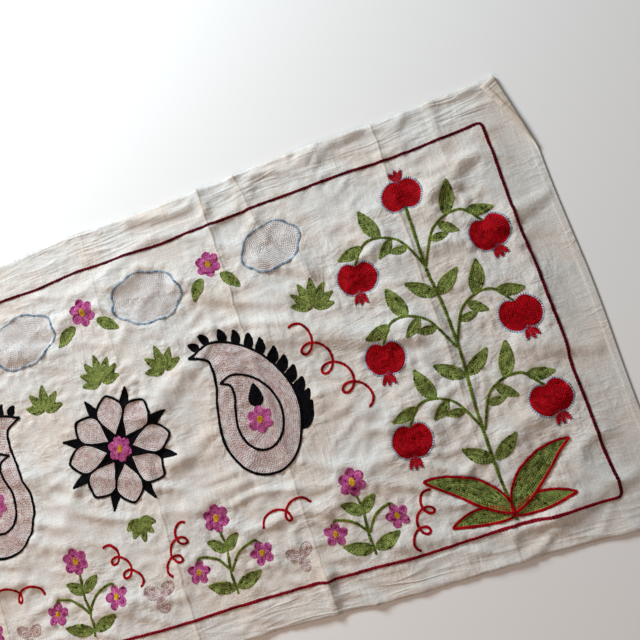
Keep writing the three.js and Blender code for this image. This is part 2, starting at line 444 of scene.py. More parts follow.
def rosette(wide=126.0, petals=8):
    strokes = [Stroke(fill, "black", oval(0.52 * wide, 0.52 * wide), FILLING)]
    petal = blade(0.38 * wide, 0.265 * wide, fullest=0.6) + 0.11 * wide
    point = blade(0.26 * wide, 0.1 * wide, fullest=0.3) + 0.3 * wide
    for k in range(petals):
        turn = turned(90 + 360 * k / petals)
        strokes.append(Stroke(fill, "black", point * turn * turned(180 / petals), FILLING))
        strokes.append(Stroke(fill, "rose", petal * turn, FILLING._replace(over=0.4)))
        strokes.append(Stroke(outline_row, "black", petal * turn, OUTLINE._replace(over=1.1)))
    return strokes + put(flower(0.24 * wide), over=0.7)


print(f"boteh: {len(boteh())} strokes, rosette: {len(rosette())}")

# %% [markdown]
# Sprays and trees stand on their roots. A pomegranate tree has a fruit at its top and pairs of arching
# boughs, each with leaves along it and a fruit at its end. A bough is made once for each side and put on
# the trunk at three heights, so that a change to it shows all over the tree.

# %% Sprays and trees
RISE, REACH, DROP = 46.0, 72.0, 20.0
BOUGH_ROOTS = (96.0, 187.0, 278.0)
BOUGH_LEAVES = ((0.5, 50, 40), (0.75, 22, 32), (0.4, -74, 27), (0.2, -62, 23))
LEAF_BREADTH = 0.42
TRUNK_LEAVES = (64, 155, 246)


def mirrored(path, side):
    return path if side > 0 else -np.conj(path)


def spray(tall=84.0):
    """Three flowers on one stalk."""
    strokes = [Stroke(line, "olive", smooth(0, -0.02 + 0.3j, 0.02 + 0.6j, 0.82j) * tall, STEM)]
    strokes += put(flower(31), at=1j * tall)
    for side in (1, -1):
        arm = mirrored(smooth(0.3j, 0.16 + 0.5j, 0.38 + 0.58j, 0.44 + 0.52j) * tall, side)
        strokes.append(Stroke(line, "olive", arm, STEM))
        strokes += put(flower(27, petals=5), at=arm[-1] - 0.12j * tall, turn=12 * side)
        strokes += put(leaf(34, 14.5, bend=18 * side), at=0.08j * tall, turn=90 - 76 * side)
        strokes += put(leaf(26, 13, bend=-20 * side), at=0.56j * tall, turn=90 - 46 * side)
    return strokes


def bough(side):
    """An arching bough that hangs a fruit, with leaves at shares of its run, turned off it by degrees."""
    arch = smooth(0, 0.28 * REACH + 0.8j * RISE, 0.72 * REACH + 1j * RISE, REACH + 1j * (RISE - DROP))
    arch = mirrored(arch, side)
    strokes = [Stroke(line, "olive", arch, STEM)]
    for share, turn, length in BOUGH_LEAVES:
        k = round(share * (len(arch) - 1))
        ahead = np.degrees(np.angle(arch[k + 1] - arch[k - 1]))
        bent = leaf(length, LEAF_BREADTH * length, bend=20 * side)
        strokes += put(bent, at=arch[k], turn=ahead + side * turn)
    return strokes + put(pomegranate(), at=arch[-1], turn=8 * side)


def red_edged_leaf(length, width, bend):
    shape = blade(length, width, bend)
    return [Stroke(fill, "green", shape, FILLING), Stroke(outline_row, "red", shape, OUTLINE)]


def pomegranate_tree():
    strokes = [Stroke(line, "olive", smooth(0, -2 + 90j, 2 + 190j, -1 + 280j, 347j), TRUNK)]
    for side in (1, -1):
        strokes += put(red_edged_leaf(66, 18, -34 * side), at=5j, turn=90 - 76 * side)
        strokes += put(red_edged_leaf(98, 25, -40 * side), at=8j, turn=90 - 44 * side, over=0.7)
        for height in TRUNK_LEAVES:
            strokes += put(leaf(37, 15.5, bend=16 * side), at=1j * height, turn=90 - 58 * side)
        for root in BOUGH_ROOTS:
            strokes += put(bough(side), at=1j * root)
    return strokes + put(pomegranate(), at=346j, turn=180)


print(f"spray: {len(spray())} strokes, tree: {len(pomegranate_tree())}")

# %% [markdown]
# The design is the same on both halves of the cloth, mirrored about its middle, so only one half is
# listed. Each row of the layout has a motif, the place of its root and its turn in degrees.

# %% Layout
Place = namedtuple("Place", "motif x y turn", defaults=(0,))
MIDDLE = (
    Place(rosette(), 0, -8),
    Place(fan(), 0, 70),
    Place(fan(28, 5, 130), 0, -88, 180),
    Place(flower(32), 0, 154),
    Place(leaf(32, 14, bend=-15), 14, 142, -35),
    Place(leaf(32, 14, bend=15), -14, 142, 215),
    Place(blush_trefoil(), 0, -172),
)
HALF = (
    Place(pomegranate_tree(), 388, -204),
    Place(boteh(), 158, -86, -6),
    Place(white_round(), 80, 146, -8),
    Place(white_round(70, 52, 6), 234, 152, 10),
    Place(flower(30), 160, 158),
    Place(leaf(30, 13, bend=-15), 170, 144, -48),
    Place(leaf(30, 13, bend=15), 150, 144, 228),
    Place(fan(32, 5, 150), 76, 60, 8),
    Place(fan(), 258, 72, -12),
    Place(coil(92, 3, 11), 256, 6, -62),
    Place(spray(), 86, -196),
    Place(spray(78), 240, -196),
    Place(blush_trefoil(18), 163, -176, 10),
    Place(coil(40, 2, 8), 34, -132, 60),
    Place(coil(30, 1, 9), 162, -130, 12),
    Place(coil(42, 2, 8), 300, -176, 62),
)
print(f"{len(MIDDLE)} motifs in the middle and {len(HALF)} in each half")

# %% [markdown]
# One heavy border line with rounded corners runs round the design. Its lower run is in a brighter red
# than the rest, so the line is two strokes. Then all of it is sewn, motif by motif, in the order of the
# layout.

# %% Border and sewing
BORDER_ENDS, BORDER_LOW, BORDER_HIGH, BORDER_ROUND, BEND_POINTS = 493.0, -209.0, 201.0, 5.0, 9
BORDER_BENDS = ((270, 1, BORDER_LOW), (0, 1, BORDER_HIGH), (90, -1, BORDER_HIGH), (180, -1, BORDER_LOW))


def border():
    """The lower run, and the rest of the line from its right end round to its left end."""
    bends = []
    for turn, x, y in BORDER_BENDS:
        inside = x * (BORDER_ENDS - BORDER_ROUND) + 1j * (y - np.sign(y) * BORDER_ROUND)
        bends.append(inside + BORDER_ROUND * turned(np.linspace(turn, turn + 90, BEND_POINTS)))
    rest = np.concatenate(bends)
    lower = np.array([rest[-1], rest[0]])
    return [Stroke(line, "crimson", lower, BORDER), Stroke(line, "maroon", rest, BORDER)]


def sew(motif):
    for s in motif:
        path = evenly(s.path, RING_STEP, closed=s.way is not line)
        s.way(s.thread, by_hand(path if s.way is line else path[:-1]), s.gauge)


sew(border())
for p in MIDDLE:
    sew(put(p.motif, p.x + 1j * p.y, p.turn))
for p in HALF:
    right = put(p.motif, p.x + 1j * p.y, p.turn)
    sew(right)
    sew(put(right, flip=True))
for thread in THREADS:
    print(f"{thread}: {len(chains[thread])} chain stitches, {len(ticks[thread])} straight ones")

# %% [markdown]
# The cloth lies in soft folds, with faint creases from its storage. These could be simulated, but listed
# tables put each where it belongs. They repeat the solid's own: a fold is a ridge that narrows from its
# first end to its last, and a crease runs across the cloth with a height at each side. A short crease is
# only a line in the cotton's finish.

# %% Folds and creases
Crease = namedtuple("Crease", "x lean plus minus reach")
CREASES = (
    Crease(-371, 5, 1.5, 0.7, 9),
    Crease(-190, -4, 0.8, 1.6, 9),
    Crease(26, -3, 0.5, 1.5, 8),
    Crease(178, -5, 1.8, 1.0, 9),
    Crease(379, 2, 1.3, 0.6, 8),
)
SHORT_CREASES = (Crease(262, -46, 1.4, -4, 9),)
FOLD_FAR_SHARE = 0.55
Fold = namedtuple("Fold", "x0 y0 x1 y1 height reach")
FOLDS = (
    Fold(200, 60, 350, 8, 8.0, 30),
    Fold(352, 24, 392, -26, 4.5, 18),
    Fold(122, 150, 168, 116, 5.5, 22),
    Fold(218, 140, 272, 110, 5.0, 22),
    Fold(46, 20, 120, 60, 5.0, 24),
    Fold(50, -46, 112, -22, 4.0, 20),
    Fold(232, -24, 296, -66, 4.0, 20),
    Fold(204, -136, 258, -114, 3.5, 18),
    Fold(318, -52, 366, -80, 4.0, 18),
    Fold(58, -96, 128, -84, 3.5, 18),
    Fold(-58, -168, 24, -182, 4.0, 20),
    Fold(262, -192, 346, -204, 3.5, 16),
    Fold(420, 150, 478, 172, 4.5, 20),
    Fold(470, 88, 526, 104, 4.5, 20),
    Fold(404, 96, 456, 76, 3.5, 18),
    Fold(84, 236, 158, 226, 3.0, 14),
    Fold(300, 232, 364, 240, 3.0, 14),
    Fold(217, 240, 232, 160, 3.0, 13),
    Fold(447, 240, 444, 196, 3.0, 14),
    Fold(184, -198, 180, -240, 3.5, 13),
    Fold(410, -120, 478, -96, 4.5, 22),
    Fold(452, -36, 520, -62, 4.5, 22),
    Fold(424, -206, 512, -190, 4.0, 20),
    Fold(-140, 150, -40, 118, 5.5, 24),
    Fold(-300, 96, -170, 52, 7.0, 28),
    Fold(-480, 160, -390, 124, 5.0, 24),
    Fold(-150, 12, -62, -34, 5.0, 24),
    Fold(-250, -96, -140, -120, 5.0, 24),
    Fold(-430, -12, -310, -58, 6.0, 28),
    Fold(-520, -120, -420, -156, 5.0, 24),
    Fold(-330, -176, -236, -190, 4.0, 20),
    Fold(-290, 226, -220, 234, 3.0, 14),
)


def ridge(distance, reach):
    return np.where(distance < reach, np.cos(np.pi / 2 * np.minimum(distance / reach, 1)) ** 2, 0)


def fold_height(f, place):
    root, run = f.x0 + 1j * f.y0, (f.x1 - f.x0) + 1j * (f.y1 - f.y0)
    near = np.clip(((place - root) / run).real, 0, 1)
    size = 1 - (1 - FOLD_FAR_SHARE) * near
    return f.height * size * ridge(np.abs(place - root - near * run), f.reach * size)


def crease_height(c, place):
    side = 2 * place.imag / WIDTH
    height = (c.plus * (1 + side) + c.minus * (1 - side)) / 2
    return height * ridge(np.abs(place.real - c.x - c.lean * side), c.reach)


print(f"{len(FOLDS)} folds, {len(CREASES)} long creases, {len(SHORT_CREASES)} short one")

# %% [markdown]
# Finer crumples lie over the folds: long ridges that lean one way, and puckers where the stitching draws
# in. Waves alone look like water. Folding them about their middle gives the narrow crests of crumpled
# cotton, and stitched places, which are stiffer, get less of it.

# %% Crumples and puckers
Crumple = namedtuple("Crumple", "height shortest longest stretch lean seed")
CRUMPLES = (
    Crumple(height=4.4, shortest=44, longest=84, stretch=1.9, lean=-26, seed=31),
    Crumple(height=3.0, shortest=22, longest=42, stretch=1.8, lean=-12, seed=32),
    Crumple(height=1.2, shortest=12, longest=22, stretch=1.6, lean=-40, seed=33),
)
CRUMPLE_SWAY, CREST_ROUNDING, CREST_SPREAD = 0.15, 0.1, 1.3
FEW_WAVES, MANY_WAVES = 8, 16
STRONG_SHORTEST, STRONG_LONGEST, STRONG_MEAN, STRONG_SWING = 90, 240, 0.6, 0.5
STRONG_LEAST, STRONG_MOST = 0.1, 1.2
PUCKER, PUCKER_SHORTEST, PUCKER_LONGEST, PUCKER_WAVES = 1.2, 8, 15, 26
STIFFENING = 0.4


def crumple_height(c, place):
    """Ridges that lean one way, narrow along their crests, strong in some places and faint in others."""
    leaned = place * turned(-c.lean)
    drawn = leaned.real / c.stretch + 1j * leaned.imag
    sway = waves(place, 2 * c.longest, 3 * c.longest, FEW_WAVES, c.seed)
    drawn = drawn + CRUMPLE_SWAY * c.longest * sway
    swell = waves(drawn, c.shortest, c.longest, MANY_WAVES, c.seed + 10)
    off_crest = np.hypot(swell / CREST_SPREAD, CREST_ROUNDING)
    strong = waves(place, STRONG_SHORTEST, STRONG_LONGEST, FEW_WAVES, c.seed + 20)
    strength = np.clip(STRONG_MEAN + STRONG_SWING * strong, STRONG_LEAST, STRONG_MOST)
    return c.height * strength * (1 - np.minimum(off_crest, 1)) ** 2


def rumples(place, stitched, edge):
    """All the finer rumples. Stitching stiffens the cloth, and puckers it along the edge of a motif."""
    soft = sum(crumple_height(c, place) for c in CRUMPLES)
    swell = waves(place, PUCKER_SHORTEST, PUCKER_LONGEST, PUCKER_WAVES, seed=26)
    drawn_in = PUCKER * edge * (swell + 1) / 2
    return (1 - STIFFENING * stitched) * soft + drawn_in


print(f"{len(CRUMPLES)} sizes of crumple, up to {max(c.height for c in CRUMPLES)} mm high")

# %% [markdown]
# The folds are worked out once, on a grid over the flat cloth, and stitches find their place on the cloth
# between the grid's points. Columns by the end with the turned corner lean with that fold, so that it
# bends cleanly.

# %% The cloth's grid
COLUMNS, ROWS, STRIP, STRIP_LEAST = 312, 148, 44.0, 9.0
STRIP_OUT, STRIP_BEND, STRIP_FLAP = 7, 7, 4
CORNER_ALONG, CORNER_DOWN, CORNER_BEND = 22.0, 104.0, 1.7
even_u = np.linspace(-LENGTH / 2, LENGTH / 2 - STRIP, COLUMNS + 1)
even_v = np.linspace(-WIDTH / 2, WIDTH / 2, ROWS + 1)
bend_run = np.pi * CORNER_BEND


def strip_columns(v):
    fold = max(STRIP_LEAST, CORNER_ALONG * (1 - (WIDTH / 2 - v) / CORNER_DOWN))
    out = np.linspace(STRIP, fold, STRIP_OUT + 1)[1:]
    bend = np.linspace(fold, fold - bend_run, STRIP_BEND + 1)[1:]
    flap = np.linspace(fold - bend_run, 0, STRIP_FLAP + 1)[1:]
    return LENGTH / 2 - np.concatenate([out, bend, flap])


plan = np.array([np.append(even_u, strip_columns(v)) + 1j * v for v in even_v])
print(f"the grid has {plan.shape[0]} by {plan.shape[1]} points")

# %% [markdown]
# Puckers follow the stitching, so the grid has to know where thread lies. Each stitch is counted at its
# nearest point, and the counts are softened: a little for the stitched places, and a lot to find what
# lies around them.

# %% Where thread lies
STITCH_COVER, EDGE_GAIN = 0.5, 4
NEAR_TIMES, NEAR_GAIN, AROUND_TIMES, AROUND_GAIN = 3, 1.2, 24, 1.6


def softened(grid, times):
    """A grid with each value shared with its neighbours, several times over."""
    for _ in range(times):
        padded = np.pad(grid, 1, mode="edge")
        beside = padded[:-2, 1:-1] + padded[2:, 1:-1] + padded[1:-1, :-2] + padded[1:-1, 2:]
        grid = (beside + 4 * grid) / 8
    return grid


sewn_at = np.array([s.start + s.step / 2 for rows in chains.values() for s in rows])
thread_cover = np.zeros(plan.shape)
column_of = np.rint((sewn_at.real + LENGTH / 2) / (even_u[1] - even_u[0])).astype(int)
row_of = np.rint((sewn_at.imag + WIDTH / 2) / (even_v[1] - even_v[0])).astype(int)
np.add.at(thread_cover, (row_of, column_of), STITCH_COVER)
stitched = np.clip(softened(thread_cover, NEAR_TIMES) * NEAR_GAIN, 0, 1)
around = np.clip(softened(thread_cover, AROUND_TIMES) * AROUND_GAIN, 0, 1)
edge = np.clip(EDGE_GAIN * around * (1 - stitched), 0, 1)
print(f"{stitched.mean():.0%} of the cloth is stitched")

# %% [markdown]
# Now the flat plan is laid down. Each point is lifted by the folds and the rumples and drawn in where an
# edge waves, and the far corner is turned over on a tight bend. Half the thickness to each side, along
# the way that the cloth faces, gives its face and its wrong side. The doubled hem is thicker.

# %% Laying it down
THICKNESS, HEM_WIDTH, HEM_EXTRA, HEM_STEP = 0.9, 6.0, 0.5, 3.0
Wave = namedtuple("Wave", "depth length")
SIDE_WAVE, END_WAVE = Wave(3.0, 270.0), Wave(2.5, 245.0)
CALM_END = 24


def hem(place):
    """How much thicker the cloth is here, from its doubled hem."""
    from_edge = np.minimum(LENGTH / 2 - np.abs(place.real), WIDTH / 2 - np.abs(place.imag))
    t = np.clip((from_edge - HEM_WIDTH) / HEM_STEP, 0, 1)
    return HEM_EXTRA * (1 - t * t * (3 - 2 * t))


def draw_in(wave, along):
    return wave.depth * (1 - np.cos(2 * np.pi * along / wave.length)) / 2


def laid(place):
    """Where the middle of the cloth's thickness lies, as x, y and z."""
    u, v = place.real, place.imag
    x = u - np.sign(u) * draw_in(END_WAVE, v) * (2 * u / LENGTH) ** 2
    y = v - np.sign(v) * draw_in(SIDE_WAVE, u) * (2 * v / WIDTH) ** 2
    spot = x + 1j * y
    lift = sum(crease_height(c, spot) for c in CREASES) + sum(fold_height(f, spot) for f in FOLDS)
    calm = np.clip((LENGTH / 2 - CALM_END - u) / CALM_END, 0, 1)
    lift = lift + calm * rumples(spot, stitched, edge)
    z = lift + (THICKNESS + hem(place)) / 2
    across = CORNER_DOWN + 1j * CORNER_ALONG
    across /= abs(across)
    past = ((place - (LENGTH / 2 - CORNER_ALONG + 0.5j * WIDTH)) * np.conj(across)).real
    past = np.maximum(past, 0)
    turn = np.minimum(np.pi, past / CORNER_BEND)
    shift = CORNER_BEND * np.sin(turn) - (past - turn * CORNER_BEND) - past
    rise = CORNER_BEND * (1 - np.cos(turn))
    return np.stack([x + shift * across.real, y + shift * across.imag, z + rise], -1)


middle = laid(plan)
facing = np.cross(np.gradient(middle, axis=1), np.gradient(middle, axis=0))
facing /= np.linalg.norm(facing, axis=-1, keepdims=True)
thick = (THICKNESS + hem(plan))[..., None]
top, bottom = middle + facing * thick / 2, middle - facing * thick / 2
bottom[..., 2] = np.maximum(bottom[..., 2], 0)
print(f"the cloth's face rises from {top[..., 2].min():.1f} to {top[..., 2].max():.1f} mm")

# %% [markdown]
# Shaders are written as Python expressions, which are easier to read than a list of nodes and links. Wire
# holds one output of a node, and its operators add Math nodes. Any other node comes from Wire.node, which
# sets the node's settings first and then its sockets.

# %% Shader maths
class Wire:
    """One output socket of a node, in a material's node tree."""

    def __init__(self, tree, socket=None):
        self.tree, self.socket = tree, socket

    def node(self, kind, settings=None, output=0, **sockets):
        made = self.tree.nodes.new(kind)
        for name, value in (settings or {}).items():
            setattr(made, name, value)
        for name, value in sockets.items():
            key = int(name[1:]) if name[0] == "_" else name.replace("_", " ")
            if isinstance(value, Wire):
                self.tree.links.new(value.socket, made.inputs[key])
            else:
                made.inputs[key].default_value = value
        return Wire(self.tree, made.outputs[output])

    def math(self, operation, *values):
        sockets = {f"_{place}": value for place, value in enumerate(values)}
        return self.node("ShaderNodeMath", {"operation": operation}, **sockets)

    def __add__(self, other):
        return self.math("ADD", self, other)

    def __radd__(self, other):
        return self.math("ADD", other, self)

    def __sub__(self, other):
        return self.math("SUBTRACT", self, other)

    def __rsub__(self, other):
        return self.math("SUBTRACT", other, self)

    def __mul__(self, other):
        return self.math("MULTIPLY", self, other)

    def __rmul__(self, other):
        return self.math("MULTIPLY", other, self)

    def spread(self, low, high, first=0.0, last=1.0):
        """This value drawn out, so that low to high becomes first to last, and held beyond them."""
        ends = {"From_Min": low, "From_Max": high, "To_Min": first, "To_Max": last}
        return self.node("ShaderNodeMapRange", Value=self, **ends)

    def mixed(self, low, high):
        """A colour between two others, by this value."""
        return self.node("ShaderNodeMix", {"data_type": "RGBA"}, output=2, _0=self, _6=low, _7=high)


def linear(rgb):
    """A colour given as screen values from 0 to 255, as light."""
    c = np.array(rgb) / 255
    return (*np.where(c <= 0.04045, c / 12.92, ((c + 0.055) / 1.055) ** 2.4), 1.0)


print(f"a screen value of 128 is {linear((128, 128, 128))[0]:.2f} as light")

# %% [markdown]
# Every finish here is a Principled shader that is fed by a few wires. Patterns follow the piece's own UV
# map, so that they bend with the cloth or run along the thread, and attributes carry what was worked out
# in arrays.

# %% Materials and their maps
def new_material(name, sheen):
    material = bpy.data.materials.new(name)
    material.use_nodes = True
    shader = material.node_tree.nodes["Principled BSDF"]
    shader.inputs["Specular IOR Level"].default_value = sheen
    return material, shader, Wire(material.node_tree)


def feed(shader, **sockets):
    for name, wire in sockets.items():
        wire.tree.links.new(wire.socket, shader.inputs[name.replace("_", " ")])


def attribute(wire, name):
    return wire.node("ShaderNodeAttribute", {"attribute_name": name}, output=2)


def map_axes(wire, name):
    """A UV map, and its two axes."""
    place = wire.node("ShaderNodeUVMap", {"uv_map": name})
    first = wire.node("ShaderNodeSeparateXYZ", Vector=place)
    return place, first, Wire(wire.tree, first.socket.node.outputs[1])


print("materials read the maps cut and strand")

# %% [markdown]
# Handwoven cotton is never even. Noise on the cloth's cut, in metres, gives its slubs, stains and swells.
# An image of cloth could be wrapped on it, but noise stays sharp from near and repeats nowhere. Crinkles
# are noise folded about its middle value, which leaves thin ridges, and they gather in patches.

# %% Noise on the cloth
NOISE_ROUGHNESS, CRINKLE_BEND, CRINKLE_BREADTH = 0.6, 0.4, 0.16
PATCH_LEAST, PATCH_MOST = 0.44, 0.66


def noise(cut, scale, turn=0.0, detail=2.0, distortion=0.0):
    """Noise with so many swells to the metre along the cloth and across it."""
    turned_by = (0, 0, np.radians(turn))
    placed = cut.node("ShaderNodeMapping", Vector=cut, Scale=(*scale, 1), Rotation=turned_by)
    look = {"Scale": 1.0, "Detail": detail, "Roughness": NOISE_ROUGHNESS, "Distortion": distortion}
    return cut.node("ShaderNodeTexNoise", Vector=placed, **look)


def crinkles(cut, scale, turn):
    bent = noise(cut, scale, turn, detail=1.0, distortion=CRINKLE_BEND)
    folded = cut.math("ABSOLUTE", bent - 0.5)
    return folded.spread(0.0, CRINKLE_BREADTH, 1.0, 0.0)


def patches(cut, scale, turn):
    """Where crinkles gather."""
    return noise(cut, scale, turn).spread(PATCH_LEAST, PATCH_MOST)


print(f"a crinkle is the noise within {CRINKLE_BREADTH} of its middle")

# %% [markdown]
# A sharp, slightly tan line runs along each crease. The edge of the turned hem shows on the wrong side as
# a dark line, which is painted shadow. The mesh is too coarse for such lines. Each is a narrow bell of
# the distance from it, in the shader.

# %% Lines of creases, and the hem's painted shadow
CREASE_LINE, HEM_SHADOW_LINE = 0.0014, 0.0007
CREASE_WANDER, WANDER_SCALE, WANDER_TURN = 0.006, (20, 20), 31


def bell(off, breadth):
    return off.math("EXPONENT", off * off * (-1 / breadth**2))


def crease_line(cut, along, across, c):
    """The line along a storage crease, with a little wander. It fades where the crease does."""
    side = across * (2 / (WIDTH * MM))
    wander = (noise(cut, WANDER_SCALE, WANDER_TURN * c.lean) - 0.5) * CREASE_WANDER
    off = along - c.x * MM - side * (c.lean * MM) + wander
    strength = (c.plus + c.minus) / 2 + side * ((c.plus - c.minus) / 2)
    return bell(off, CREASE_LINE) * off.math("MAXIMUM", strength, 0.0)


# Painted shadow: a dark line along the edge of the turned hem, on the wrong side.
def hem_shadow_line(along, across):
    from_end = LENGTH * MM / 2 - along.math("ABSOLUTE", along)
    from_side = WIDTH * MM / 2 - across.math("ABSOLUTE", across)
    return bell(along.math("MINIMUM", from_end, from_side) - HEM_WIDTH * MM, HEM_SHADOW_LINE)


print(f"a crease's line is about {2 * CREASE_LINE / MM:.1f} mm wide")

# %% [markdown]
# The ground is cream cotton, with slubs, where a thick stretch of yarn shows as a streak, and old soft
# stains that make some places warmer. Colours are mixed one over another, from the stains to the tan
# lines of the creases. The wrong side, which shows at the turned corner, is tinted duller and tan, partly
# as its own colour and partly as painted shade, and the edge of its hem is darkened as painted shadow.

# %% The cotton's colours
CLEAN, STAINED = linear((224, 225, 222)), linear((224, 204, 186))
THIN_YARN, THICK_YARN = linear((190, 185, 178)), linear((244, 244, 242))
CREASE_TAN = linear((206, 184, 156))
# The wrong side's tan is partly its own duller colour and partly painted shade; the hem's dark colour is
# a painted shadow line.
WRONG_SIDE_TAN_AND_SHADE, HEM_SHADE = linear((214, 192, 166)), linear((142, 118, 94))
CREASE_TINT, WRONG_SIDE_TINT_AND_SHADE, HEM_SHADOW_TINT, YARN_TINT = 0.25, 0.42, 0.6, 0.5
STAIN_LEAST, STAIN_MOST = 0.42, 0.7


def cotton_colour(cut, along, across, grain, creases):
    stains = noise(cut, scale=(13, 13), detail=3.0).spread(STAIN_LEAST, STAIN_MOST)
    ground, yarn = stains.mixed(CLEAN, STAINED), grain.mixed(THIN_YARN, THICK_YARN)
    mix = {"_0": YARN_TINT, "_6": ground, "_7": yarn}
    colour = cut.node("ShaderNodeMix", {"data_type": "RGBA"}, output=2, **mix)
    colour = (creases * CREASE_TINT).mixed(colour, CREASE_TAN)
    # The wrong side is tinted tan, partly its own duller colour and partly painted shade, and a painted
    # shadow line darkens it along the hem's edge.
    wrong_side = attribute(cut, "wrong_side")
    colour = (wrong_side * WRONG_SIDE_TINT_AND_SHADE).mixed(colour, WRONG_SIDE_TAN_AND_SHADE)
    return (wrong_side * hem_shadow_line(along, across) * HEM_SHADOW_TINT).mixed(colour, HEM_SHADE)


print("stains, yarn, creases, wrong side and hem are mixed")

# %% [markdown]
# What is too fine for the mesh is a bump, with its heights given in millimetres: the plain weave, the
# slubs, crinkles in patches, puckers at the stitching, and small wrinkles that run along the margins.

# %% The cotton's bump
WEAVE_PITCH = 0.0007
WEAVE_BUMP, SLUB_BUMP, SPECK_BUMP, SWELL_BUMP = 0.02, 0.07, 0.08, 0.45
CREASE_BUMP, PUCKER_BUMP, MARGIN_BUMP = 0.4, 0.26, 0.5
MARGIN_FROM, MARGIN_TO, MARGIN_LEAST = 0.2, 0.212, 0.6
Crinkle = namedtuple("Crinkle", "gather gather_turn scale turn height")
CRINKLES = (
    Crinkle(gather=(10, 15), gather_turn=-20, scale=(40, 105), turn=8, height=0.4),
    Crinkle(gather=(12, 9), gather_turn=50, scale=(100, 38), turn=12, height=0.36),
)


def cotton_height(cut, along, across, slubs, specks, creases):
    warp, weft = (cut.math("SINE", axis * (2 * np.pi / WEAVE_PITCH)) for axis in (along, across))
    height = warp * weft * WEAVE_BUMP + slubs * SLUB_BUMP + specks * SPECK_BUMP
    height += noise(cut, scale=(80, 110), turn=15) * SWELL_BUMP
    for c in CRINKLES:
        height += patches(cut, c.gather, c.gather_turn) * crinkles(cut, c.scale, c.turn) * c.height
    puckered = attribute(cut, "pucker") * crinkles(cut, scale=(80, 100), turn=-34)
    height += puckered * PUCKER_BUMP + creases * CREASE_BUMP
    margin = cut.math("ABSOLUTE", across).spread(MARGIN_FROM, MARGIN_TO)
    wrinkled = margin * (patches(cut, scale=(9, 6), turn=4) + MARGIN_LEAST)
    return height + wrinkled * crinkles(cut, scale=(14, 95), turn=-4) * MARGIN_BUMP


print(f"the yarns of the weave are {WEAVE_PITCH / MM:.1f} mm apart")

# %% [markdown]
# Colour and bump share the same slubs and creases, so that a streak that is paler also stands higher.
# They are made once and handed to both. Cotton is matt, so its sheen is low, and only the thick yarn has
# a little gloss.

# %% Cotton
COTTON_SHEEN, COTTON_ROUGHNESS, YARN_GLOSS = 0.2, 0.98, 0.12
SPECK_SHARE, GRAIN_LEAST, GRAIN_MOST = 1.4, 1.35, 2.05


def cotton():
    material, shader, wire = new_material("handwoven_cotton", COTTON_SHEEN)
    cut, along, across = map_axes(wire, "cut")
    slubs = noise(cut, scale=(26, 900)) + noise(cut, scale=(900, 26))
    specks = noise(cut, scale=(520, 520), turn=20)
    grain = (slubs + specks * SPECK_SHARE).spread(GRAIN_LEAST, GRAIN_MOST)
    first, *others = [crease_line(cut, along, across, c) for c in CREASES + SHORT_CREASES]
    creases = sum(others, first)
    colour = cotton_colour(cut, along, across, grain, creases)
    height = cotton_height(cut, along, across, slubs, specks, creases)
    bump = wire.node("ShaderNodeBump", Strength=1.0, Distance=MM, Height=height)
    feed(shader, Base_Color=colour, Normal=bump, Roughness=COTTON_ROUGHNESS - grain * YARN_GLOSS)
    return material


handwoven = cotton()
print(f"{handwoven.name}: {len(handwoven.node_tree.nodes)} nodes")

# %% [markdown]
# The cloth starts as a flat grid, because it is cut flat. Its faces are extruded once into a second
# layer, which gives the closed rim, and both layers then move to the places worked out above. A Solidify
# modifier would thicken a single sheet too, but it couldn't make the hem thicker than the rest.

# %% Two layers
def finish_piece(name, mesh, material):
    mesh.materials.append(material)
    mesh.shade_smooth()
    piece = bpy.data.objects.new(name, mesh)
    bpy.context.scene.collection.objects.link(piece)
    return piece


def two_layers(name, rows, columns):
    """A flat mesh of two layers, which marks the row, column and layer of each vertex."""
    bm = bmesh.new()
    row, column, upper = (bm.verts.layers.int.new(key) for key in ("row", "column", "upper"))
    sheet = bmesh.ops.create_grid(bm, x_segments=columns - 1, y_segments=rows - 1, size=1.0)
    for vert in sheet["verts"]:
        vert[row] = round((vert.co.y + 1) / 2 * (rows - 1))
        vert[column] = round((vert.co.x + 1) / 2 * (columns - 1))
    layer = bmesh.ops.extrude_face_region(bm, geom=bm.faces[:], use_keep_orig=True)
    for item in layer["geom"]:
        if isinstance(item, bmesh.types.BMVert):
            item[upper] = 1
    mesh = bpy.data.meshes.new(name)
    bm.to_mesh(mesh)
    bm.free()
    return mesh


sheet_mesh = two_layers("suzani_ground", *plan.shape)
print(f"two layers: {len(sheet_mesh.vertices)} vertices")

# %% [markdown]
# Each vertex knows its row, its column and its layer, so it can be sent to its place in one step. The
# flat plan becomes the UV map of the cut, which is what the cotton's pattern follows. A second map keeps
# the two layers apart, for baking.

# %% Cloth
BAKE_HALF = 0.49


def taken(mesh, key):
    """The values of a vertex mark, which is then removed."""
    values = np.zeros(len(mesh.vertices), int)
    mesh.attributes[key].data.foreach_get("value", values)
    mesh.attributes.remove(mesh.attributes[key])
    return values


def note(mesh, key, values):
    mesh.attributes.new(key, "FLOAT", "POINT").data.foreach_set("value", values)


def map_corners(mesh, key, places):
    made = mesh.uv_layers.new(name=key)
    made.uv.foreach_set("vector", np.ravel(places))


